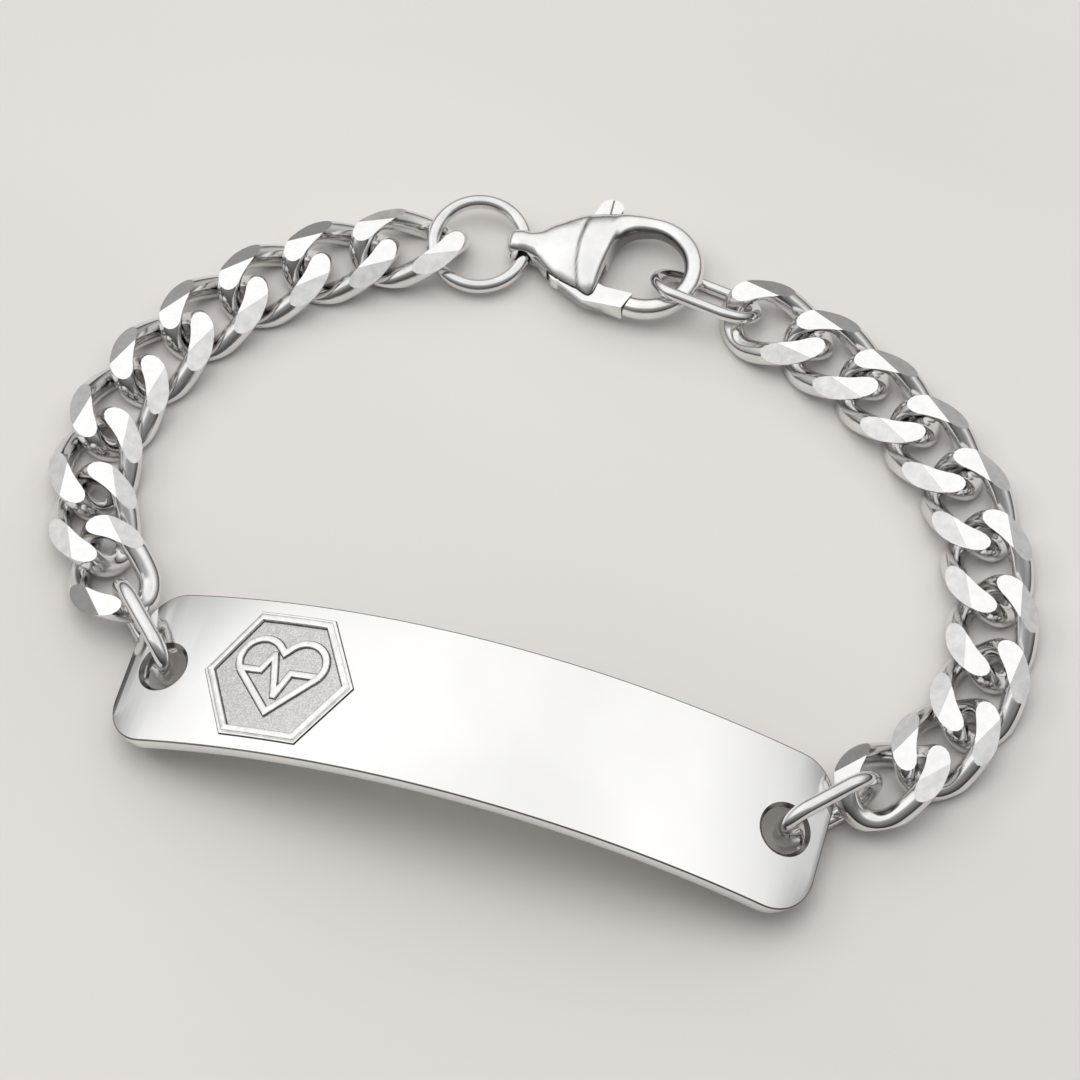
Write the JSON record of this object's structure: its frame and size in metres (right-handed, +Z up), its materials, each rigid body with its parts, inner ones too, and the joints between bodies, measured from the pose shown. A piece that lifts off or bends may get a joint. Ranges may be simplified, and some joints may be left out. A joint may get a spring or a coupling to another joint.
{
  "type": "medical alert bracelet",
  "caption": "Curb chain bracelet with an arched identity plate that bears a raised emblem, and a lobster claw clasp whose sprung lever opens the hook. It lies closed on a surface.",
  "frame": {"origin": "middle of the bracelet's outline, on the surface that it lies on", "axes": "+X along the plate towards its right-hand hole, +Y from the plate to the clasp, +Z up"},
  "size_m": [0.0782, 0.057, 0.0094],
  "materials": {
    "plate": "polished",
    "links": "polished",
    "rings": "polished",
    "clasp": "polished",
    "lever": "polished"
  },
  "bodies": {
    "root": {"id_plate": "plate", "plate_ring_left": "rings", "plate_ring_right": "rings", "clasp_ring": "rings", "catch_ring": "rings", "clasp_body": "clasp", "link_01": "links", "link_02": "links", "link_03": "links", "link_04": "links", "link_05": "links", "link_06": "links", "link_07": "links", "link_08": "links", "link_09": "links", "link_10": "links", "link_11": "links", "link_12": "links", "link_13": "links", "link_14": "links", "link_15": "links", "link_16": "links", "link_17": "links", "link_18": "links", "link_19": "links"},
    "lever": {"clasp_lever": "lever"}
  },
  "joints": [
    {"name": "lever_pivot", "type": "hinge", "parent": "root", "child": "lever", "pos_m": [-0.00525, 0.02078, 0.00167], "axis": [-0.0349, -0.0018, 0.9994], "range_deg": [0, 20], "stiffness_Nm_per_rad": 0.008, "springref_deg": -8.59}
  ]
}
